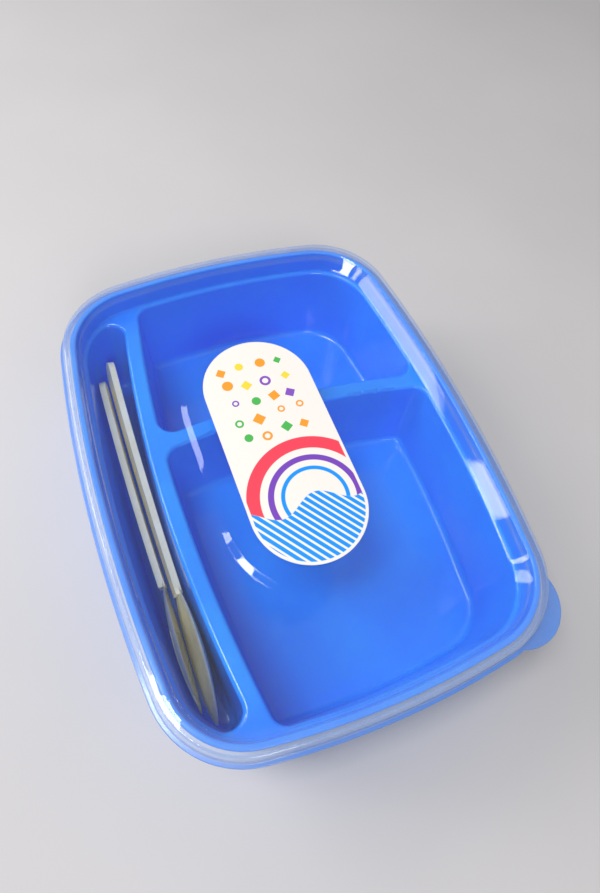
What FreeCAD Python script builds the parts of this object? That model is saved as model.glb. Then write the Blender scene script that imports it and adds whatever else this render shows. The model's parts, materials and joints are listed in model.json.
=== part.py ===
import FreeCAD
import Part
import math
import os
from collections import namedtuple
from FreeCAD import Vector

# Lunch box in millimetres. Z is up, Y runs along the length, X across.
# The origin is under the middle of the box, on the surface that it stands on.

# Plan of the lid's outer edge: four gently bowed sides and four round corners
lid_width = 160.0
lid_length = 210.0
long_side_radius = 600.0
short_side_radius = 330.0
corner_radius = 35.0

# Heights above the table
floor_height = 2.4
divider_height = 44.5
rim_height = 54.9
foot_recess = 0.8

# Container: walls, rim and compartments
container_wall = 1.5
draft_angle = 3.5
rim_inset = 7.0
rim_width = 2.2
rim_depth = 3.3
rim_rounding = 0.8
ledge_width = 2.0
mouth_rounding = 1.7
base_rounding = 5.0
foot_width = 3.0
divider_width = 7.0
slot_width = 16.9
long_divider_radius = 560.0
cross_divider_y = 25.5
cross_divider_radius = 330.0
slot_corner = 6.0
slot_fillet = 3.0
food_corner = 6.5
food_fillet = 3.3

# Lid: a channel over the rim, a sloping shoulder and a recessed panel
lid_wall = 1.2
lip_width = 1.6
skirt_slope = 0.7
rim_headroom = 0.5
skirt_drop = 3.8
channel_width = 5.7
shoulder_width = 6.5
panel_drop = 4.6
crown_rounding = 1.6
shoulder_rounding = 4.0
seal_clearance = 0.5
seal_depth = 3.6
seal_width = 1.0
snap_clearance = 0.35
snap_height = 1.0
oval_width = 72.0
oval_length = 122.0
oval_rise = 0.9
oval_slope = 2.6
tab_reach = 5.8
tab_radius = 17.0
tab_direction = -48.0

# Label on the raised oval
label_width = 46.0
label_length = 103.0
label_thickness = 0.25
label_shift_x = -2.0
label_shift_y = 3.0

# Cutlery: both pieces stand on edge in the slot, heads towards the near end,
# with their backs to the two walls and the handles resting higher at the far end
cutlery_thickness = 1.4
cutlery_clearance = 0.45
end_clearance = 1.2
handle_thickness = 2.7
handle_bow = 0.9
fork_front = 0.5
spoon_front = 1.4
neck_width = 6.5
handle_end_width = 11.0
head_length = 54.0
spoon_width = 28.0
fork_width = 24.0
tine_count = 4
tine_gap = 2.2
tine_length = 32.0
fork_lean = 4.0
spoon_lean = 12.0
cutlery_rise = 5.0

# A run of a plan path; the path's inside lies towards an arc's centre (side 1) or away from it (-1)
Arc = namedtuple("Arc", "center radius start end side", defaults=[1])
Line = namedtuple("Line", "start end")

half_width = lid_width / 2
half_length = lid_length / 2
draft = math.tan(math.radians(draft_angle))


def polar(center, radius, angle):
    return (center[0] + radius * math.cos(angle), center[1] + radius * math.sin(angle))


def bearing(center, spot):
    return math.atan2(spot[1] - center[1], spot[0] - center[0])


def nearest(spots, goal):
    return min(spots, key=lambda spot: math.dist(spot, goal))


def heading(line):
    length = math.dist(line.start, line.end)
    return ((line.end[0] - line.start[0]) / length, (line.end[1] - line.start[1]) / length)


def shifted(line, inset):
    # The same line moved to its left, which is the inside of a counter-clockwise path
    across, along = heading(line)
    step = (-along * inset, across * inset)
    return Line((line.start[0] + step[0], line.start[1] + step[1]),
                (line.end[0] + step[0], line.end[1] + step[1]))


def inset_path(path, inset):
    moved = []
    for run in path:
        if isinstance(run, Arc):
            moved.append(run._replace(radius=run.radius - run.side * inset))
        else:
            moved.append(shifted(run, inset))
    return moved


def line_circle(line, center, radius):
    # Points where the endless line through a run crosses a circle
    across, along = heading(line)
    to_center = (center[0] - line.start[0], center[1] - line.start[1])
    foot = to_center[0] * across + to_center[1] * along
    gap = to_center[0] * along - to_center[1] * across
    if abs(gap) > radius:
        return []
    half = math.sqrt(radius ** 2 - gap ** 2)
    spots = []
    for reach in (foot - half, foot + half):
        spots.append((line.start[0] + across * reach, line.start[1] + along * reach))
    return spots


def circle_crossings(first, first_radius, second, second_radius):
    # Points that lie at two given distances from two centres
    span = math.dist(first, second)
    foot = (first_radius ** 2 - second_radius ** 2 + span ** 2) / (2 * span)
    if abs(foot) > first_radius:
        return []
    rise = math.sqrt(first_radius ** 2 - foot ** 2)
    along = ((second[0] - first[0]) / span, (second[1] - first[1]) / span)
    middle = (first[0] + foot * along[0], first[1] + foot * along[1])
    return [
        (middle[0] - rise * along[1], middle[1] + rise * along[0]),
        (middle[0] + rise * along[1], middle[1] - rise * along[0]),
    ]


def touching(first, second, radius):
    # Middles of the circles that touch two arcs from the inside of the path
    return circle_crossings(first.center, first.radius - first.side * radius,
                            second.center, second.radius - second.side * radius)


def outline():
    # Corner circles touch both neighbouring side arcs from inside
    long_side = Arc((half_width - long_side_radius, 0.0), long_side_radius, 0.0, 0.0)
    short_side = Arc((0.0, half_length - short_side_radius), short_side_radius, 0.0, 0.0)
    corner = nearest(touching(long_side, short_side, corner_radius), (half_width, half_length))
    low = bearing(long_side.center, corner)
    high = bearing(short_side.center, corner)
    turn = math.pi
    return [
        long_side._replace(start=-low, end=low),
        Arc(corner, corner_radius, low, high),
        short_side._replace(start=high, end=turn - high),
        Arc((-corner[0], corner[1]), corner_radius, turn - high, turn - low),
        Arc((-long_side.center[0], 0.0), long_side_radius, turn - low, turn + low),
        Arc((-corner[0], -corner[1]), corner_radius, turn + low, turn + high),
        Arc((0.0, -short_side.center[1]), short_side_radius, turn + high, 2 * turn - high),
        Arc((corner[0], -corner[1]), corner_radius, 2 * turn - high, 2 * turn - low),
    ]


def stadium(width, length, center):
    radius = width / 2
    reach = length / 2 - radius
    far = (center[0], center[1] + reach)
    near = (center[0], center[1] - reach)
    return [
        Line((near[0] + radius, near[1]), (far[0] + radius, far[1])),
        Arc(far, radius, 0.0, math.pi),
        Line((far[0] - radius, far[1]), (near[0] - radius, near[1])),
        Arc(near, radius, math.pi, 2 * math.pi),
    ]


def on_arc(run, angle):
    low = min(run.start, run.end)
    return (angle - low + 1e-9) % (2 * math.pi) <= abs(run.end - run.start) + 2e-9


def wall_corner(walls, face, radius, goal):
    # Corner circle between a divider face and the wall arc that it meets nearest to the goal
    found = []
    for index, wall in enumerate(walls):
        for spot in touching(face, wall, radius):
            angle = bearing(wall.center, spot)
            if on_arc(wall, angle):
                angle = wall.start + (angle - wall.start) % (2 * math.pi)
                found.append((math.dist(spot, goal), spot, index, angle))
    return min(found)[1:]


def contact(run, spot):
    # Direction from the middle of a corner circle to the place where it touches an arc
    if run.side > 0:
        return bearing(run.center, spot)
    return bearing(spot, run.center)


def forward_arc(center, radius, start, end):
    while end < start:
        end += 2 * math.pi
    while end - start > 2 * math.pi:
        end -= 2 * math.pi
    return Arc(center, radius, start, end)


def wall_stretch(walls, first, first_angle, last, last_angle):
    # Wall arcs from one touching point on to the next, counter-clockwise
    runs = []
    index = first
    start = first_angle
    while index != last:
        runs.append(walls[index]._replace(start=start))
        index = (index + 1) % len(walls)
        start = walls[index].start
    runs.append(walls[last]._replace(start=start, end=last_angle))
    return runs


def face_run(face, first, last):
    # The stretch of a divider face between two corner circles
    start = bearing(face.center, first)
    end = bearing(face.center, last)
    if (end - start) * face.side < 0:
        end += 2 * math.pi * face.side
    return face._replace(start=start, end=end)


def room(walls, faces, radius, goals):
    # Closed path inside the walls, cut off by divider faces, with every corner rounded
    spot, last, last_angle = wall_corner(walls, faces[0], radius, goals[0])
    path = [forward_arc(spot, radius, last_angle, contact(faces[0], spot))]
    for face, following, goal in zip(faces, faces[1:], goals[1:]):
        turn = nearest(touching(face, following, radius), goal)
        path.append(face_run(face, spot, turn))
        path.append(forward_arc(turn, radius, contact(face, turn), contact(following, turn)))
        spot = turn
    face = faces[-1]
    turn, first, first_angle = wall_corner(walls, face, radius, goals[-1])
    path.append(face_run(face, spot, turn))
    path.append(forward_arc(turn, radius, contact(face, turn), first_angle))
    return path + wall_stretch(walls, first, first_angle, last, last_angle)


def flat_vector(spot, height):
    return Vector(spot[0], spot[1], height)


def plan_face(path, height):
    edges = []
    for run in path:
        if isinstance(run, Arc):
            middle = (run.start + run.end) / 2
            ends = [polar(run.center, run.radius, angle) for angle in (run.start, middle, run.end)]
            edges.append(Part.Arc(*[flat_vector(spot, height) for spot in ends]).toShape())
        else:
            edges.append(Part.makeLine(flat_vector(run.start, height), flat_vector(run.end, height)))
    return Part.Face(Part.Wire(Part.__sortEdges__(edges)))


def slab(path, bottom, top):
    return plan_face(path, bottom).extrude(Vector(0, 0, top - bottom))


def rounded_edges(points, place):
    # Closed outline through (inset, height, rounding) points, set in space by place
    edges = []
    count = len(points)
    ends = []
    for index, (inset, height, rounding) in enumerate(points):
        back = Vector(points[index - 1][0] - inset, points[index - 1][1] - height, 0)
        ahead = Vector(points[(index + 1) % count][0] - inset, points[(index + 1) % count][1] - height, 0)
        corner = Vector(inset, height, 0)
        if rounding <= 0:
            ends.append((corner, None, corner))
            continue
        half = back.getAngle(ahead) / 2
        back.normalize()
        ahead.normalize()
        reach = rounding / math.tan(half)
        bisector = back + ahead
        bisector.normalize()
        middle = corner + bisector * (rounding / math.sin(half) - rounding)
        ends.append((corner + back * reach, middle, corner + ahead * reach))
    for index, (begin, middle, end) in enumerate(ends):
        if middle is not None:
            edges.append(Part.Arc(place(begin), place(middle), place(end)).toShape())
        following = ends[(index + 1) % count][0]
        if end.distanceToPoint(following) > 1e-6:
            edges.append(Part.makeLine(place(end), place(following)))
    return edges


def sweep(path, section):
    # Carries a section of (inset, height, rounding) points round a plan path
    pieces = []
    for run in path:
        if isinstance(run, Arc):
            def place(spot):
                return flat_vector(polar(run.center, run.radius - run.side * spot.x, run.start), spot.y)
        else:
            def place(spot):
                return flat_vector(shifted(run, spot.x).start, spot.y)
        face = Part.Face(Part.Wire(Part.__sortEdges__(rounded_edges(section, place))))
        if isinstance(run, Arc):
            turn = math.degrees(run.end - run.start)
            pieces.append(face.revolve(flat_vector(run.center, 0), Vector(0, 0, 1), turn))
        else:
            pieces.append(face.extrude(flat_vector(run.end, 0) - flat_vector(run.start, 0)))
    return joined(pieces)


def joined(pieces):
    return pieces[0].multiFuse(pieces[1:]).removeSplitter()


# Insets of the container's walls at a height, measured in from the lid's outer edge
def upper_inner(height):
    return rim_inset + (rim_height - height) * draft


def upper_outer(height):
    return upper_inner(height) - container_wall


mouth_inset = upper_inner(divider_height) + ledge_width
long_divider_x = mouth_inset - half_width + slot_width + divider_width / 2


def lower_outer(height):
    return mouth_inset + (divider_height - height) * draft - container_wall


# Depth of the swept bands: inside them the floors and panels are flat
foot_inset = lower_outer(0) + base_rounding + foot_width
band_inset = foot_inset + 2 * container_wall


def basin(walls):
    # Rim, walls and foot with the space up to the divider tops still filled
    step_height = divider_height - container_wall
    bead_bottom = rim_height - rim_depth
    bead_inset = rim_inset - rim_width
    section = [
        (lower_outer(0), 0.0, base_rounding),
        (lower_outer(step_height), step_height, container_wall / 2),
        (upper_outer(step_height), step_height, container_wall / 2),
        (upper_outer(bead_bottom), bead_bottom, 0.0),
        (bead_inset, bead_bottom, rim_rounding),
        (bead_inset, rim_height, rim_rounding),
        (rim_inset, rim_height, rim_rounding),
        (upper_inner(divider_height), divider_height, container_wall / 2),
        (band_inset, divider_height, 0.0),
        (band_inset, foot_recess, 0.0),
        (foot_inset, foot_recess, 0.0),
        (foot_inset, 0.0, foot_recess / 2),
    ]
    core = slab(inset_path(walls, band_inset), foot_recess, divider_height)
    return joined([sweep(walls, section), core])


def compartment(path, corner, fillet):
    # Drafted pocket with a filleted floor and a mouth that rounds the divider tops
    flare = mouth_rounding * 1.1
    cut_top = divider_height + container_wall
    wall_run = (divider_height - floor_height) * draft
    # The flat floor starts between the end of the fillet and the middle of the corners
    depth_inset = (wall_run + fillet + corner) / 2
    section = [
        (-flare, cut_top, 0.0),
        (-flare, divider_height, 0.0),
        (0.0, divider_height, mouth_rounding),
        (wall_run, floor_height, fillet),
        (depth_inset, floor_height, 0.0),
        (depth_inset, cut_top, 0.0),
    ]
    core = slab(inset_path(path, depth_inset), floor_height, cut_top)
    return joined([sweep(path, section), core])


# Where the middles of the dividers meet each other and the walls, roughly
divider_crossing = (long_divider_x, cross_divider_y)
far_end = (long_divider_x, half_length)
near_end = (long_divider_x, -half_length)
right_end = (half_width, cross_divider_y)


def long_divider(offset, side):
    # Upright face beside the middle of the long divider, which bows towards the slot
    center = (long_divider_x + long_divider_radius, 0.0)
    return Arc(center, long_divider_radius + offset, 0.0, 0.0, side)


def cross_divider(offset, side):
    # Upright face beside the middle of the cross divider, which bows towards the far end
    center = (0.0, cross_divider_y - cross_divider_radius)
    return Arc(center, cross_divider_radius + offset, 0.0, 0.0, side)


def hollow(middle):
    # Tapered groove under a divider, open below, that leaves the divider one wall thick
    top = divider_height - container_wall
    half_top = divider_width / 2 - container_wall * (1 - draft)
    half_bottom = half_top + top * draft
    section = ((-half_bottom, 0.0), (half_bottom, 0.0), (half_top, top), (-half_top, top))
    corners = []
    for reach, height in section:
        corners.append(flat_vector(polar(middle.center, middle.radius + reach, middle.start), height))
    face = Part.Face(Part.makePolygon(corners + corners[:1]))
    turn = math.degrees(middle.end - middle.start)
    return face.revolve(flat_vector(middle.center, 0), Vector(0, 0, 1), turn)


def divider_hollows(walls):
    inner = inset_path(walls, band_inset)
    along = long_divider(0.0, 1)
    across = cross_divider(0.0, 1)
    crossing = nearest(touching(along, across, 0.0), divider_crossing)
    far_spot = wall_corner(inner, along, 0.0, far_end)[0]
    near_spot = wall_corner(inner, along, 0.0, near_end)[0]
    right_spot = wall_corner(inner, across, 0.0, right_end)[0]
    return [hollow(face_run(along, far_spot, near_spot)), hollow(face_run(across, right_spot, crossing))]


def compartment_paths():
    # Mouths of the cutlery slot and of the far and near food compartments
    mouth = inset_path(outline(), mouth_inset)
    half = divider_width / 2
    left = long_divider(half, -1)
    right = long_divider(-half, 1)
    far = cross_divider(half, -1)
    near = cross_divider(-half, 1)
    return [
        room(mouth, [left], slot_corner, [near_end, far_end]),
        room(mouth, [right, far], food_corner, [far_end, divider_crossing, right_end]),
        room(mouth, [near, right], food_corner, [right_end, divider_crossing, near_end]),
    ]


def container():
    walls = outline()
    slot, far_room, near_room = compartment_paths()
    cuts = [
        compartment(slot, slot_corner, slot_fillet),
        compartment(far_room, food_corner, food_fillet),
        compartment(near_room, food_corner, food_fillet),
    ]
    return basin(walls).cut(cuts + divider_hollows(walls)).removeSplitter()


# Heights of the lid's parts, from the rim that carries it
crown_height = rim_height + rim_headroom + lid_wall
lip_bottom = rim_height - rim_depth - skirt_drop + lid_wall
lip_top = lip_bottom + lid_wall
panel_top = crown_height - panel_drop
panel_bottom = panel_top - lid_wall
skirt_inset = lip_width + skirt_slope
crown_inset = skirt_inset + channel_width
panel_inset = crown_inset + shoulder_width


def lid_rim(walls):
    # Lip, skirt with a snap bead, channel over the rim, seal rib and sloping shoulder
    channel_top = crown_height - lid_wall
    slope = panel_drop / shoulder_width
    seal_outer = rim_inset + seal_clearance
    seal_inner = seal_outer + seal_width
    seal_bottom = channel_top - seal_depth
    lean = seal_depth * draft
    under_slope = crown_height - (seal_inner - crown_inset) * slope - lid_wall * math.hypot(1, slope)
    under_inset = panel_inset - lid_wall * slope / 2
    snap_inset = rim_inset - rim_width - snap_clearance
    snap_middle = lip_top + snap_height / 2
    skirt_lean = skirt_slope / (crown_height - lip_top)
    inner_skirt = lip_width + lid_wall
    section = [
        (0.0, lip_bottom, lid_wall / 3),
        (0.0, lip_top, lid_wall / 3),
        (lip_width, lip_top, lid_wall / 3),
        (skirt_inset, crown_height, crown_rounding),
        (crown_inset, crown_height, crown_rounding),
        (panel_inset, panel_top, shoulder_rounding),
        (band_inset, panel_top, 0.0),
        (band_inset, panel_bottom, 0.0),
        (under_inset, panel_bottom, shoulder_rounding),
        (seal_inner, under_slope, 0.0),
        (seal_inner + lean, seal_bottom, seal_width / 3),
        (seal_outer + lean, seal_bottom, seal_width / 3),
        (seal_outer, channel_top, 0.0),
        (skirt_inset + lid_wall, channel_top, lid_wall / 3),
        (inner_skirt + skirt_lean * snap_height, lip_top + snap_height, 0.0),
        (snap_inset, snap_middle, snap_height / 4),
        (inner_skirt, lip_top, 0.0),
        (inner_skirt, lip_bottom, lid_wall / 4),
    ]
    return sweep(walls, section)


def lid_panel(walls):
    # Recessed panel with a raised oval, one wall thick throughout
    oval = stadium(oval_width, oval_length, (0.0, 0.0))
    outside = inset_path(oval, -oval_slope)
    inside = inset_path(oval, 2 * oval_slope)
    sheet = slab(inset_path(walls, band_inset), panel_bottom, panel_top)
    sheet = sheet.cut(slab(outside, panel_bottom, panel_top))
    bevel = [
        (-oval_slope, panel_top, 0.0),
        (0.0, panel_top, oval_slope / 3),
        (oval_slope, panel_top + oval_rise, oval_slope / 3),
        (2 * oval_slope, panel_top + oval_rise, 0.0),
        (2 * oval_slope, panel_bottom + oval_rise, 0.0),
        (oval_slope, panel_bottom + oval_rise, oval_slope / 3),
        (0.0, panel_bottom, oval_slope / 3),
        (-oval_slope, panel_bottom, 0.0),
    ]
    raised = slab(inside, panel_bottom + oval_rise, panel_top + oval_rise)
    return [sheet, sweep(oval, bevel), raised]


def thumb_tab(walls):
    # Crescent that widens the lip at one corner
    corner = walls[-1]
    middle = polar(corner.center, corner.radius + tab_reach - tab_radius, math.radians(tab_direction))
    disc = Part.makeCylinder(tab_radius, lid_wall, flat_vector(middle, lip_bottom))
    rounding = lid_wall / 3
    disc = disc.makeFillet(rounding, [edge for edge in disc.Edges if edge.Closed])
    return disc.cut(slab(inset_path(walls, lip_width / 2), lip_bottom - 1, lip_top + 1))


def lid():
    walls = outline()
    return joined([lid_rim(walls), thumb_tab(walls)] + lid_panel(walls))


def label():
    path = stadium(label_width, label_length, (label_shift_x, label_shift_y))
    bottom = panel_top + oval_rise
    return slab(path, bottom, bottom + label_thickness)


# Faces of the slot at a height, which the cutlery is fitted between
def slot_crossings(line, height):
    across, along = heading(line)
    found = []
    for run in inset_path(compartment_paths()[0], (divider_height - height) * draft):
        for spot in line_circle(line, run.center, run.radius):
            if on_arc(run, bearing(run.center, spot)):
                found.append(spot[0] * across + spot[1] * along)
    return found


def slot_left(along, height):
    return min(slot_crossings(Line((0.0, along), (1.0, along)), height))


def slot_right(along, height):
    return max(slot_crossings(Line((0.0, along), (1.0, along)), height))


def slot_end(across, height):
    return max(slot_crossings(Line((across, 0.0), (across, 1.0)), height))


def dish(length, width, depth):
    # Shell of revolution about an axis along Y, cut level so that its rim lies at height zero
    half = width / 2
    axis_height = (half ** 2 - depth ** 2) / (2 * depth)
    shells = []
    for skin in (0.0, cutlery_thickness):
        reach = length / 2 - 2 * skin
        low = Vector(0, -reach, -axis_height)
        high = Vector(0, reach, -axis_height)
        arc = Part.Arc(low, Vector(0, 0, skin - depth - axis_height), high).toShape()
        sides = Part.makePolygon([high, Vector(0, reach, 0), Vector(0, -reach, 0), low])
        face = Part.Face(Part.Wire([arc] + sides.Edges))
        shells.append(face.revolve(Vector(0, 0, 0), Vector(0, 1, 0), 360))
    size = 4 * (width + length)
    below = Part.makeBox(size, size, size, Vector(-size / 2, -size / 2, -axis_height - size))
    shell = shells[0].cut(shells[1]).common(below)
    shell.translate(Vector(0, length / 2, axis_height))
    return shell


def handle_plan(start, end):
    neck = neck_width / 2
    tail = handle_end_width / 2
    top = end - tail
    corners = [Vector(-neck, start, 0), Vector(neck, start, 0), Vector(tail, top, 0), Vector(-tail, top, 0)]
    edges = [Part.makeLine(corners[3], corners[0]), Part.makeLine(corners[0], corners[1])]
    edges.append(Part.makeLine(corners[1], corners[2]))
    edges.append(Part.Arc(corners[2], Vector(0, end, 0), corners[3]).toShape())
    return Part.Face(Part.Wire(Part.__sortEdges__(edges)))


def handle_side(start, end, front, bow):
    edges = []
    for level in (front, front - handle_thickness):
        middle = Vector(0, (start + end) / 2, level + bow)
        edges.append(Part.Arc(Vector(0, start, level), middle, Vector(0, end, level)).toShape())
    for spot in (start, end):
        edges.append(Part.makeLine(Vector(0, spot, front), Vector(0, spot, front - handle_thickness)))
    return Part.Face(Part.Wire(Part.__sortEdges__(edges)))


def handle(start, end, front, bow):
    # Flat strip that widens to a round end and bows with the slot along its length,
    # with its front face a little way in front of the head's rim
    deep = 4 * (handle_bow + handle_thickness)
    plan = handle_plan(start, end).extrude(Vector(0, 0, deep))
    plan.translate(Vector(0, 0, -deep / 2))
    # The strip runs on past the round end, so that only the plan shapes that end
    side = handle_side(start, end + handle_end_width / 2, front, bow)
    strip = side.extrude(Vector(2 * handle_end_width, 0, 0))
    strip.translate(Vector(-handle_end_width, 0, 0))
    return plan.common(strip)


def tine_slots(width, depth):
    pitch = (width + tine_gap) / tine_count
    slots = []
    for index in range(1, tine_count):
        middle = -(width + tine_gap) / 2 + index * pitch
        corner = Vector(middle - tine_gap / 2, -tine_length, -2 * depth)
        gap = Part.makeBox(tine_gap, 2 * tine_length, 4 * depth, corner)
        root = Part.makeCylinder(tine_gap / 2, 4 * depth, Vector(middle, tine_length, -2 * depth))
        slots.append(gap.fuse(root))
    return slots


def on_edge(shape, roll, spot):
    # Turns a piece about its widest place onto its long edge and sets that place at the spot
    shape.translate(Vector(0, -head_length / 2, 0))
    shape.rotate(Vector(0, 0, 0), Vector(0, 1, 0), roll)
    shape.rotate(Vector(0, 0, 0), Vector(1, 0, 0), cutlery_rise)
    lowest = shape.optimalBoundingBox().ZMin
    shape.translate(Vector(spot[0], spot[1], floor_height + cutlery_clearance - lowest))
    return shape


def cutlery():
    fork_turn = math.radians(fork_lean)
    spoon_turn = math.radians(spoon_lean)
    height = floor_height + cutlery_clearance + spoon_width / 2
    slot_middle = long_divider_x - (divider_width + slot_width) / 2
    head_y = head_length / 2 + end_clearance - slot_end(slot_middle, height)
    # The bowed wall closes in towards the tip of the fork and the divider towards the spoon's neck
    left = slot_left(head_y - head_length / 4, height) + cutlery_clearance
    right = slot_right(head_y + head_length / 4, height) - cutlery_clearance
    # The heads share the width that the leaning edges leave between the walls
    edges = (fork_width * math.sin(fork_turn) + spoon_width * math.sin(spoon_turn)) / 2
    room_left = right - left - edges - cutlery_clearance
    depth = room_left / (math.cos(fork_turn) + math.cos(spoon_turn))
    fork_x = left + depth * math.cos(fork_turn)
    spoon_x = right - depth * math.cos(spoon_turn)
    fork_y = head_length / 2 + end_clearance - slot_end(fork_x, height)
    spoon_y = head_length / 2 + end_clearance - slot_end(spoon_x, height)
    overlap = neck_width / 2
    tip_gap = head_length / 2 - end_clearance
    fork_end = slot_end(fork_x + fork_front - handle_thickness, height) - fork_y + tip_gap
    spoon_end = slot_end(spoon_x - handle_thickness, height) - spoon_y + tip_gap
    fork_head = dish(head_length, fork_width, depth).cut(tine_slots(fork_width, depth))
    fork = joined([fork_head, handle(head_length - overlap, fork_end, fork_front, -handle_bow)])
    spoon_head = dish(head_length, spoon_width, depth)
    spoon = joined([spoon_head, handle(head_length - overlap, spoon_end, spoon_front, handle_bow)])
    fork = on_edge(fork, 90 - fork_lean, (fork_x, fork_y))
    spoon = on_edge(spoon, spoon_lean - 90, (spoon_x, spoon_y))
    return fork, spoon


def main():
    os.makedirs("parts", exist_ok=True)
    fork, spoon = cutlery()
    shapes = {"container": container(), "lid": lid(), "label": label(), "fork": fork, "spoon": spoon}
    for name, shape in shapes.items():
        print(name, len(shape.Solids), "solid, volume", round(shape.Volume / 1000, 2), "cm3")
        shape.exportStep("parts/" + name + ".step")


main()
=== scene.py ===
import json
import math
import bpy
import bmesh
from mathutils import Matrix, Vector

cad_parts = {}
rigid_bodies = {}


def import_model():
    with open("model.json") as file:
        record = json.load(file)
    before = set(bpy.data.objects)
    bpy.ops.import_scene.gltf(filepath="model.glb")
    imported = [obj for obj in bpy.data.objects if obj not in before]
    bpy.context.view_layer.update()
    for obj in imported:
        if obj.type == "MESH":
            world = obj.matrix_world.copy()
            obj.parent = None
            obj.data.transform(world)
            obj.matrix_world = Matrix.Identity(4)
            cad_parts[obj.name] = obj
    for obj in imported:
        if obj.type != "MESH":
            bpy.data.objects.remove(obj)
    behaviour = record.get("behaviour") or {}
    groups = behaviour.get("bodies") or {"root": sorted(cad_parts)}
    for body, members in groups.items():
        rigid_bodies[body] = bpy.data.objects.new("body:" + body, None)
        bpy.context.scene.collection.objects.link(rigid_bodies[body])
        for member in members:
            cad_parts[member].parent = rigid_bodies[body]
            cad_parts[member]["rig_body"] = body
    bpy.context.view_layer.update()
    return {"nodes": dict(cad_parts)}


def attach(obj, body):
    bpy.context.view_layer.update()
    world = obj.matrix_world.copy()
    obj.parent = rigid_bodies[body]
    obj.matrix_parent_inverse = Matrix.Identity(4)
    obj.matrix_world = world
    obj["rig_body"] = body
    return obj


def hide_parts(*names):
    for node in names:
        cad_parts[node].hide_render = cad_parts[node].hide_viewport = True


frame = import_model()
scene = bpy.context.scene
print("frame loaded:", sorted(frame["nodes"]))


# wraps one socket, so that shader sums read as plain maths
class Flow:
    def __init__(self, tree, socket=None):
        self.tree = tree
        self.socket = socket

    # any node: type, settings first, then the values or links of its sockets
    def node(self, kind, settings=None, sockets=None, out=0):
        made = self.tree.nodes.new(kind)
        for key, value in (settings or {}).items():
            setattr(made, key, value)
        for key, value in (sockets or {}).items():
            parts = value if isinstance(value, list) else [value]
            for part in parts:
                if isinstance(part, Flow):
                    self.tree.links.new(part.socket, made.inputs[key])
                else:
                    made.inputs[key].default_value = part
        return Flow(self.tree, made.outputs[out] if made.outputs else None)

    def sum(self, operation, first, second=0.0, third=0.0):
        return self.node("ShaderNodeMath", {"operation": operation}, {0: first, 1: second, 2: third})

    def __add__(self, other):
        return self.sum("ADD", self, other)

    def __radd__(self, other):
        return self.sum("ADD", other, self)

    def __sub__(self, other):
        return self.sum("SUBTRACT", self, other)

    def __rsub__(self, other):
        return self.sum("SUBTRACT", other, self)

    def __mul__(self, other):
        return self.sum("MULTIPLY", self, other)

    def __rmul__(self, other):
        return self.sum("MULTIPLY", other, self)

    def __pow__(self, other):
        return self.sum("POWER", self, other)

    # 0 below the low value, 1 above the high one, smooth between
    def step(self, low, high):
        return self.node("ShaderNodeMapRange", {"interpolation_type": "SMOOTHSTEP"},
                         {"Value": self, "From Min": low, "From Max": high})

    # one colour where the mask is 0, the other where it is 1
    def blend(self, low, high, mask):
        return self.node("ShaderNodeMix", {"data_type": "RGBA"}, {0: mask, 6: low, 7: high}, 2)

    # paints a colour over this one where the mask is 1
    def paint(self, colour, mask):
        return self.blend(self, colour, mask)


def newMaterial(name):
    material = bpy.data.materials.new(name)
    material.use_nodes = True
    material.node_tree.nodes.clear()
    return material, Flow(material.node_tree)


def finishMaterial(start, shader):
    start.node("ShaderNodeOutputMaterial", None, {"Surface": shader})


def linear(red, green, blue):
    levels = [part / 255 for part in (red, green, blue)]
    return tuple(((v + 0.055) / 1.055) ** 2.4 if v > 0.04 else v / 12.92 for v in levels) + (1.0,)


# position on the piece in millimetres, as one vector
def millimetres(start):
    spot = start.node("ShaderNodeTexCoord", None, None, "Object")
    return start.node("ShaderNodeVectorMath", {"operation": "SCALE"}, {0: spot, "Scale": 1000.0})


def noise(start, spot, size, detail=2.0, roughness=0.5):
    return start.node("ShaderNodeTexNoise", None,
                      {"Vector": spot, "Scale": 1.0 / size, "Detail": detail, "Roughness": roughness})


def axes(start, spot):
    split = start.node("ShaderNodeSeparateXYZ", None, {0: spot})
    outputs = split.socket.node.outputs
    return [Flow(start.tree, outputs[index]) for index in range(3)]


# smooth copy of a CAD node that takes its place in the picture
def dressNode(nodeName, pieceName, material, sharpAngle=30.0, softEdge=0.0):
    source = frame["nodes"][nodeName]
    mesh = source.data.copy()
    mesh.name = pieceName
    work = bmesh.new()
    work.from_mesh(mesh)
    bmesh.ops.remove_doubles(work, verts=work.verts, dist=2e-6)
    for face in work.faces:
        face.smooth = True
    for edge in work.edges:
        edge.smooth = edge.calc_face_angle(0.0) < math.radians(sharpAngle)
    work.to_mesh(mesh)
    work.free()
    mesh.materials.clear()
    mesh.materials.append(material)
    piece = bpy.data.objects.new(pieceName, mesh)
    scene.collection.objects.link(piece)
    if softEdge:
        soft = piece.modifiers.new("softEdges", "BEVEL")
        soft.width = softEdge
        soft.segments = 2
        soft.limit_method = "ANGLE"
        soft.angle_limit = math.radians(sharpAngle)
    weight = piece.modifiers.new("evenFlats", "WEIGHTED_NORMAL")  # keeps flat faces flat beside small roundings
    weight.mode = "FACE_AREA"
    weight.weight = 50
    weight.keep_sharp = True
    settle(piece)
    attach(piece, source["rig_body"])
    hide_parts(nodeName)
    return piece


# bakes the modifiers of a piece into its own mesh
def settle(piece):
    graph = bpy.context.evaluated_depsgraph_get()
    solid = bpy.data.meshes.new_from_object(piece.evaluated_get(graph), depsgraph=graph)
    solid.name = piece.name
    piece.modifiers.clear()
    piece.data = solid
    return piece


# container: blue moulded plastic, a little cloudy, that lets some light through
boxPlastic = {
    "colour": linear(24, 146, 255),
    "deep": linear(18, 136, 252),
    "pale": linear(50, 160, 255),
    "cloudSize": 38.0,
    "flowSize": 7.0,
    "grainSize": 0.35,
    "roughness": 0.12,
    "glow": 0.5,
    "glowDepth": 0.005,
}


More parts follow.
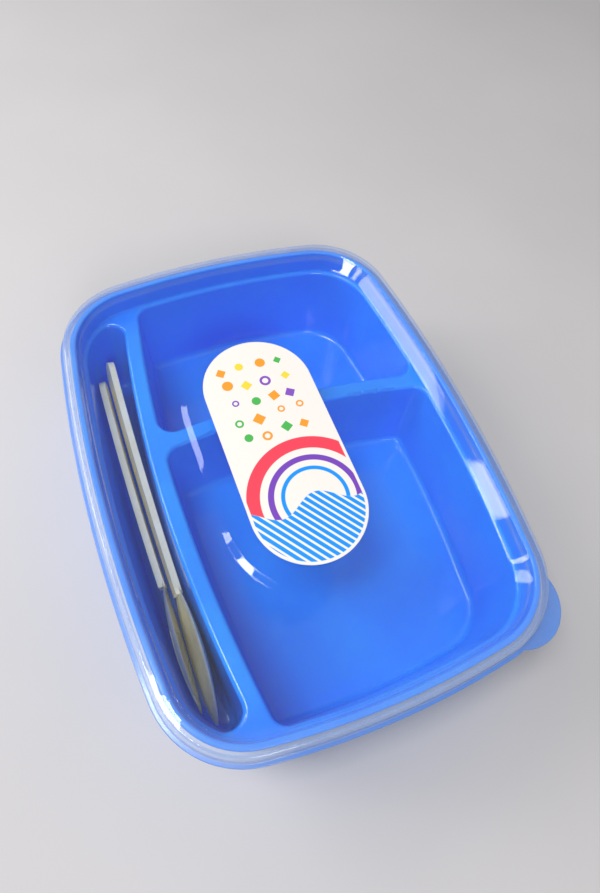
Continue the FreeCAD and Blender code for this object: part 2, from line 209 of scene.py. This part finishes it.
def boxMaterial():
    material, start = newMaterial("boxPlastic")
    spot = millimetres(start)
    cloud = noise(start, spot, boxPlastic["cloudSize"], 3.0)
    flow = noise(start, spot, boxPlastic["flowSize"], 2.0)
    grain = noise(start, spot, boxPlastic["grainSize"], 2.0)
    colour = start.blend(boxPlastic["deep"], boxPlastic["colour"], cloud.step(0.3, 0.7))
    colour = colour.paint(boxPlastic["pale"], flow.step(0.5, 0.8) * 0.25)
    rough = boxPlastic["roughness"] - 0.05 + 0.10 * flow + 0.04 * grain
    bump = start.node("ShaderNodeBump", None, {"Strength": 0.05, "Distance": 0.0001, "Height": grain})
    shader = start.node("ShaderNodeBsdfPrincipled", None, {
        "Base Color": colour, "Roughness": rough, "Normal": bump, "IOR": 1.49,
        "Subsurface Weight": boxPlastic["glow"], "Subsurface Radius": (0.25, 0.5, 1.0),
        "Subsurface Scale": boxPlastic["glowDepth"]})
    finishMaterial(start, shader)
    return material


box = dressNode("container", "boxBody", boxMaterial())
print("container dressed")

# lid: clear flexible plastic, hazier on its skirt, with a painted pale sheen on its crown and a painted blue on its
# lip, where the container's blue would show through
lidPlastic = {
    "tint": linear(251, 253, 255),
    # pale milky colour: real frosting on the skirt, and painted pale sheen where it lies on the crown
    "frostAndPaintedSheen": linear(166, 194, 240),
    # painted blue: the container's blue seen through the lip, painted onto the lip
    "lip": linear(84, 142, 226),
    "roughness": 0.02,
    "mirror": 0.036,
    "haze": 0.008,
    # painted sheen: pale haze on the crown stands in for broad reflected light
    "paintedCrownSheen": 0.09,
    "skirtHaze": 0.22,
    # how much of the lip carries the painted blue
    "lipHaze": 0.30,
    "sideRadius": (600.0, 330.0),
    "halfSize": (80.0, 105.0),
    "cornerRadius": 35.0,
}


# how far each point lies in from the lid's outer edge, kept on the mesh for its material
def markInset(piece, sizes):
    longRadius, shortRadius = sizes["sideRadius"]
    corner = sizes["cornerRadius"]
    longMiddle = sizes["halfSize"][0] - longRadius
    shortMiddle = sizes["halfSize"][1] - shortRadius
    # middle of the corner arc, at both radii less the corner's
    span = math.hypot(longMiddle, shortMiddle)
    near = ((longRadius - corner) ** 2 - (shortRadius - corner) ** 2 + span ** 2) / (2 * span)
    rise = math.sqrt((longRadius - corner) ** 2 - near ** 2)
    alongX, alongY = -longMiddle / span, shortMiddle / span
    cornerX = longMiddle + near * alongX - rise * alongY
    cornerY = near * alongY + rise * alongX
    inset = piece.data.attributes.new("inset", "FLOAT", "POINT")
    for vertex, value in zip(piece.data.vertices, inset.data):
        x, y = abs(vertex.co.x) * 1000, abs(vertex.co.y) * 1000
        fromLong = longRadius - math.hypot(x - longMiddle, y)
        fromShort = shortRadius - math.hypot(x, y - shortMiddle)
        value.value = min(fromLong, fromShort)
        if x > cornerX and y > cornerY:
            value.value = min(value.value, corner - math.hypot(x - cornerX, y - cornerY))


def lidMaterial():
    material, start = newMaterial("lidPlastic")
    spot = millimetres(start)
    inset = start.node("ShaderNodeAttribute", {"attribute_name": "inset"}, None, "Fac")
    streak = noise(start, spot, 11.0, 3.0)
    fine = noise(start, spot, 0.6, 2.0)
    skirt = 1 - inset.step(2.6, 4.8)
    # lip band that takes the painted blue
    lip = 1 - inset.step(1.0, 2.0)
    # crown band that takes the painted pale sheen
    crown = 1 - inset.step(5.0, 12.0)
    rough = lidPlastic["roughness"] + 0.015 * streak + 0.08 * skirt
    bump = start.node("ShaderNodeBump", None, {"Strength": 0.02, "Distance": 0.0002, "Height": streak + 0.1 * fine})
    passing = start.node("ShaderNodeBsdfTransparent", None, {"Color": lidPlastic["tint"]})
    # milky layer: real frost on the skirt, painted pale sheen on the crown, painted blue on the lip
    frostAndPaintedSheen = start.node("ShaderNodeBsdfPrincipled", None, {
        "Base Color": start.blend(lidPlastic["frostAndPaintedSheen"], lidPlastic["lip"], lip), "Roughness": 0.35, "Normal": bump})
    # haze amounts: the crown's and the lip's parts are painted light, the skirt's part is real frost
    edges = lidPlastic["paintedCrownSheen"] * crown + lidPlastic["skirtHaze"] * skirt + lidPlastic["lipHaze"] * lip
    haze = lidPlastic["haze"] + edges * (0.6 + 0.8 * streak)
    cloudy = start.node("ShaderNodeMixShader", None, {0: haze, 1: passing, 2: frostAndPaintedSheen})
    # clear plastic shines more the flatter it is looked at
    facing = start.node("ShaderNodeLayerWeight", None, {"Blend": 0.5, "Normal": bump}, "Facing")
    shine = start.node("ShaderNodeBsdfGlossy", None, {"Roughness": rough, "Normal": bump})
    gloss = lidPlastic["mirror"] + 0.9 * facing ** 5.0
    shader = start.node("ShaderNodeMixShader", None, {0: gloss, 1: cloudy, 2: shine})
    finishMaterial(start, shader)
    return material


lid = dressNode("lid", "lidShell", lidMaterial())
markInset(lid, lidPlastic)
print("lid dressed")

# cutlery: ivory plastic with a faint mottle
ivory = {
    "colour": linear(250, 243, 212),
    "shade": linear(242, 232, 194),
    "roughness": 0.38,
    "mottleSize": 14.0,
    "softEdge": 0.00035,
}


def ivoryMaterial():
    material, start = newMaterial("ivoryPlastic")
    spot = millimetres(start)
    mottle = noise(start, spot, ivory["mottleSize"], 3.0)
    grain = noise(start, spot, 0.4, 2.0)
    colour = start.blend(ivory["shade"], ivory["colour"], mottle.step(0.35, 0.7))
    bump = start.node("ShaderNodeBump", None, {"Strength": 0.06, "Distance": 0.0001, "Height": grain})
    shader = start.node("ShaderNodeBsdfPrincipled", None, {
        "Base Color": colour, "Roughness": ivory["roughness"] - 0.04 + 0.08 * mottle, "Normal": bump, "IOR": 1.49,
        "Subsurface Weight": 0.3, "Subsurface Radius": (1.0, 0.9, 0.6), "Subsurface Scale": 0.002})
    finishMaterial(start, shader)
    return material


ivoryPlastic = ivoryMaterial()
for nodeName, pieceName in (("spoon", "spoonPiece"), ("fork", "forkPiece")):
    dressNode(nodeName, pieceName, ivoryPlastic, 40.0, ivory["softEdge"])
print("cutlery dressed")

# label: white film with a plain wave print
labelFilm = {
    "paper": linear(230, 226, 220),
    "blue": linear(0, 140, 240),
    "red": linear(232, 62, 84),
    "purple": linear(112, 62, 176),
    "centre": (-2.0, 3.0),
    "width": 46.0,
    "length": 103.0,
}


def labelMaterial():
    material, start = newMaterial("labelFilm")
    spot = millimetres(start)
    across, along = axes(start, spot)[:2]
    u = across - labelFilm["centre"][0]
    v = along - labelFilm["centre"][1]
    # rolling hills at the near end, striped like water
    wave = start.sum("SINE", u * 0.21 + 0.7) * 3.4
    shore = v + 27.0 - wave
    water = 1 - shore.step(-0.15, 0.15)
    stripe = start.sum("SINE", (u * 0.8 + v * 0.6) * 2.6).step(0.25, 0.55)
    # three arches over them
    far = start.sum("SQRT", (u - 4.0) ** 2.0 + (v + 26.0) ** 2.0)
    colour = start.blend(labelFilm["paper"], labelFilm["blue"], water)
    for radius, width, ink in ((24.0, 5.2, "red"), (17.2, 2.4, "purple"), (12.6, 1.6, "blue")):
        ring = start.sum("ABSOLUTE", far - radius)
        band = 1 - ring.step(width / 2 - 0.12, width / 2 + 0.12)
        colour = colour.paint(labelFilm[ink], band * (1 - water))
    colour = colour.paint(labelFilm["paper"], water * stripe)
    # plain margin round the print
    half = labelFilm["width"] / 2
    reach = start.sum("MAXIMUM", start.sum("ABSOLUTE", v) - (labelFilm["length"] / 2 - half), 0.0)
    edge = half - start.sum("SQRT", u ** 2.0 + reach ** 2.0)
    colour = colour.paint(labelFilm["paper"], 1 - edge.step(1.1, 1.3))
    fibre = noise(start, spot, 0.5, 2.0)
    bump = start.node("ShaderNodeBump", None, {"Strength": 0.04, "Distance": 0.0001, "Height": fibre})
    shader = start.node("ShaderNodeBsdfPrincipled", None, {
        "Base Color": colour, "Roughness": 0.32 + 0.08 * fibre, "Normal": bump})
    finishMaterial(start, shader)
    return material


label = dressNode("label", "labelFilm", labelMaterial())
print("label dressed")

# confetti printed on the far half of the label: dots, rings and diamonds
confetti = {
    "Columns": 4,
    "Rows": 5,
    "Width": 0.025,
    "Length": 0.034,
    "Dot": 0.0023,
    "Wander": 0.0011,
    "Seed": 11,
}
confettiPlace = (-0.002, 0.0258, 0.05318)  # just above the film
confettiInks = (linear(245, 150, 40), linear(70, 172, 78), linear(126, 76, 182), linear(250, 206, 60))


def confettiMaterial():
    material, start = newMaterial("confettiInk")
    ink = start.node("ShaderNodeAttribute", {"attribute_name": "ink"}, None, "Fac")
    colour = start.blend(confettiInks[0], confettiInks[1], start.sum("GREATER_THAN", ink, 0.3))
    colour = colour.paint(confettiInks[2], start.sum("GREATER_THAN", ink, 0.6))
    colour = colour.paint(confettiInks[3], start.sum("GREATER_THAN", ink, 0.8))
    fibre = noise(start, millimetres(start), 0.5, 2.0)
    shader = start.node("ShaderNodeBsdfPrincipled", None, {"Base Color": colour, "Roughness": 0.32 + 0.08 * fibre})
    finishMaterial(start, shader)
    return material


def confettiPiece():
    tree = bpy.data.node_groups.new("confettiPrint", "GeometryNodeTree")
    ports = {}
    for name, value in confetti.items():
        kind = "NodeSocketInt" if isinstance(value, int) else "NodeSocketFloat"
        ports[name] = tree.interface.new_socket(name, in_out="INPUT", socket_type=kind).identifier
    tree.interface.new_socket("Geometry", in_out="OUTPUT", socket_type="NodeSocketGeometry")
    start = Flow(tree)
    entry = start.node("NodeGroupInput").socket.node
    given = {name: Flow(tree, entry.outputs[name]) for name in ports}

    # a random value of its own for each spot: low, high, and which of the node's outputs
    def chance(kind, place, low, high, shift):
        seed = start.node("ShaderNodeMath", None, {0: given["Seed"], 1: float(shift)})
        return start.node("FunctionNodeRandomValue", {"data_type": kind},
                          {2 * place: low, 2 * place + 1: high, "Seed": seed}, place)

    # one printed shape, filled between its outlines
    def shape(corners, *sizes):
        outlines = [start.node("GeometryNodeCurvePrimitiveCircle", None,
                               {"Resolution": corners, "Radius": given["Dot"] * size}) for size in sizes]
        return start.node("GeometryNodeFillCurve", None,
                          {"Curve": start.node("GeometryNodeJoinGeometry", None, {"Geometry": outlines})})

    grid = start.node("GeometryNodeMeshGrid", None, {
        "Size X": given["Width"], "Size Y": given["Length"],
        "Vertices X": given["Columns"], "Vertices Y": given["Rows"]})
    stray = start.node("ShaderNodeCombineXYZ", None, {
        "X": given["Wander"] * chance("FLOAT", 1, -1.0, 1.0, 1),
        "Y": given["Wander"] * chance("FLOAT", 1, -1.0, 1.0, 2)})
    spots = start.node("GeometryNodeSetPosition", None, {"Geometry": grid, "Offset": stray})
    spots = start.node("GeometryNodeTransform", None, {"Geometry": spots, "Translation": confettiPlace})
    shapes = start.node("GeometryNodeGeometryToInstance", None, {
        "Geometry": [shape(32, 1.0), shape(32, 1.0, 0.55), shape(4, 1.2)]})
    turn = start.node("ShaderNodeCombineXYZ", None, {"Z": chance("FLOAT", 1, -0.4, 0.4, 3)})
    prints = start.node("GeometryNodeInstanceOnPoints", None, {
        "Points": spots, "Instance": shapes, "Pick Instance": True, "Instance Index": chance("INT", 2, 0, 2, 4),
        "Rotation": turn, "Scale": chance("FLOAT", 1, 0.6, 1.05, 5)})
    prints = start.node("GeometryNodeStoreNamedAttribute", {"data_type": "FLOAT", "domain": "INSTANCE"}, {
        "Geometry": prints, "Name": "ink", "Value": chance("FLOAT", 1, 0.0, 1.0, 6)})
    real = start.node("GeometryNodeRealizeInstances", None, {"Geometry": prints})
    dressed = start.node("GeometryNodeSetMaterial", None, {"Geometry": real, "Material": confettiMaterial()})
    start.node("NodeGroupOutput", None, {"Geometry": dressed})

    piece = bpy.data.objects.new("confettiPrint", bpy.data.meshes.new("confettiPrint"))
    scene.collection.objects.link(piece)
    maker = piece.modifiers.new("confettiPrint", "NODES")
    maker.node_group = tree
    for name, value in confetti.items():
        maker[ports[name]] = value
    settle(piece)
    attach(piece, frame["nodes"]["label"]["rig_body"])
    return piece


confettiPrint = confettiPiece()
print("confetti printed:", len(confettiPrint.data.polygons), "faces")

# floor, light and camera
floorCloth = {"colour": linear(194, 192, 193), "shade": linear(190, 188, 189), "size": 3.0}


def floorMaterial():
    material, start = newMaterial("floorPale")
    spot = millimetres(start)
    soft = noise(start, spot, 160.0, 3.0)
    grain = noise(start, spot, 1.2, 2.0)
    tone = start.blend(floorCloth["shade"], floorCloth["colour"], soft.step(0.3, 0.7))
    bump = start.node("ShaderNodeBump", None, {"Strength": 0.1, "Distance": 0.0002, "Height": grain})
    shader = start.node("ShaderNodeBsdfPrincipled", None, {
        "Base Color": tone, "Roughness": 0.85, "Normal": bump, "Specular IOR Level": 0.2})
    finishMaterial(start, shader)
    return material


half = floorCloth["size"] / 2
floorMesh = bpy.data.meshes.new("floor")
floorMesh.from_pydata([(-half, -half, 0), (half, -half, 0), (half, half, 0), (-half, half, 0)], [], [(0, 1, 2, 3)])
floorMesh.materials.append(floorMaterial())
floor = bpy.data.objects.new("floor", floorMesh)
scene.collection.objects.link(floor)

lamps = {
    "leftStrip": {"place": (-0.62, 0.30, 0.74), "size": (0.07, 1.0), "power": 1.9, "colour": (1.0, 0.98, 0.96)},
    "farSoft": {"place": (-0.55, 0.45, 0.55), "size": (0.40, 0.40), "power": 3.0, "colour": (1.0, 0.99, 0.98)},
    "topSoft": {"place": (-0.42, 0.02, 1.25), "size": (0.28, 0.50), "power": 8.6, "colour": (1.0, 1.0, 1.0)},
    "nearFill": {"place": (-0.14, -0.85, 0.80), "size": (0.25, 0.25), "power": 3.2, "colour": (1.0, 0.99, 0.97)},
}
for name, lamp in lamps.items():
    data = bpy.data.lights.new(name, "AREA")
    data.shape = "RECTANGLE"
    data.size, data.size_y = lamp["size"]
    data.energy = lamp["power"]
    data.color = lamp["colour"]
    light = bpy.data.objects.new(name, data)
    light.location = lamp["place"]
    light.rotation_euler = (Vector((0, 0, 0.04)) - Vector(lamp["place"])).to_track_quat("-Z", "Y").to_euler()
    scene.collection.objects.link(light)

world = bpy.data.worlds.new("studio")
world.use_nodes = True
world.node_tree.nodes.clear()
sky = Flow(world.node_tree)
paths = sky.node("ShaderNodeLightPath").socket.node.outputs
seen = Flow(world.node_tree, paths["Is Camera Ray"])
for kind in ("Is Glossy Ray", "Is Transmission Ray"):
    seen = sky.sum("MAXIMUM", seen, Flow(world.node_tree, paths[kind]))
glow = sky.node("ShaderNodeBackground", None, {"Color": (1.0, 1.0, 1.0, 1.0), "Strength": 0.30})
backdrop = sky.node("ShaderNodeBackground", None, {"Color": linear(200, 199, 200), "Strength": 1.0})
sky.node("ShaderNodeOutputWorld", None, {
    "Surface": sky.node("ShaderNodeMixShader", None, {0: seen, 1: glow, 2: backdrop})})
scene.world = world

cameraSetup = {
    "place": (-0.054797, -0.098785, 0.262847),
    "turn": (28.1774, -5.2331, -21.3054),
    "lens": 24.188,
}
cameraData = bpy.data.cameras.new("camera")
cameraData.lens = cameraSetup["lens"]
cameraData.sensor_width = 36.0
cameraData.sensor_fit = "AUTO"
cameraData.clip_start = 0.01
camera = bpy.data.objects.new("camera", cameraData)
camera.location = cameraSetup["place"]
camera.rotation_euler = [math.radians(angle) for angle in cameraSetup["turn"]]
scene.collection.objects.link(camera)
scene.camera = camera
scene.view_settings.view_transform = "Standard"
print("stage set")
